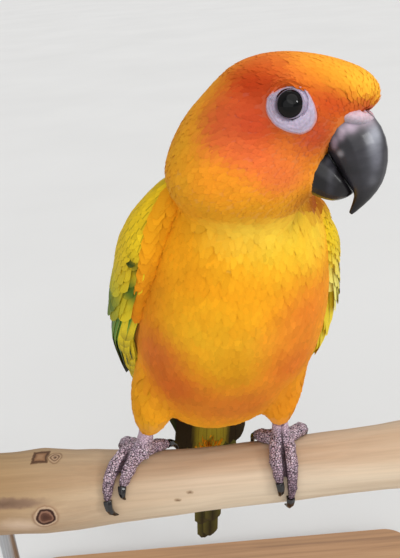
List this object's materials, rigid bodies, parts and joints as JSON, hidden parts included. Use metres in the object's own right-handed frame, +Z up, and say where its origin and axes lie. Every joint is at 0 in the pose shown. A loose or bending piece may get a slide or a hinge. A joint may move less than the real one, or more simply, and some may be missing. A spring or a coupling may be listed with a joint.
{
  "type": "sun conure model",
  "caption": "Life-size still model of a sun conure, a small parrot, gripping a short cut branch on a plain two-rod display stand.",
  "frame": {"origin": "centre of the branch's length, on the underside of the display base", "axes": "+Z up from the floor, -Y the way the bird's chest faces, X along the branch with the turned head looking towards +X"},
  "size_m": [0.19, 0.1279, 0.2625],
  "materials": {
    "body_plumage": "soft plumage",
    "head_plumage": "soft plumage",
    "flight_plumage": "smooth vanes",
    "tail_plumage": "smooth vanes",
    "horn": "satin horn",
    "eye": "wet gloss",
    "foot_skin": "scaled skin",
    "branch_wood": "bare, worn",
    "stand_wood": "oiled",
    "stand_steel": "brushed"
  },
  "bodies": {
    "root": {"torso": "body_plumage", "neck": "head_plumage", "head": "head_plumage", "bill_upper": "horn", "bill_lower": "horn", "eye_left": "eye", "eye_right": "eye", "wing_left": "flight_plumage", "wing_right": "flight_plumage", "thigh_left": "body_plumage", "thigh_right": "body_plumage", "tail": "tail_plumage", "foot_left": "foot_skin", "foot_right": "foot_skin", "claw_left_1": "horn", "claw_left_2": "horn", "claw_left_3": "horn", "claw_left_4": "horn", "claw_right_1": "horn", "claw_right_2": "horn", "claw_right_3": "horn", "claw_right_4": "horn", "perch": "branch_wood", "stand_base": "stand_wood", "stand_rod_left": "stand_steel", "stand_rod_right": "stand_steel"}
  },
  "joints": []
}
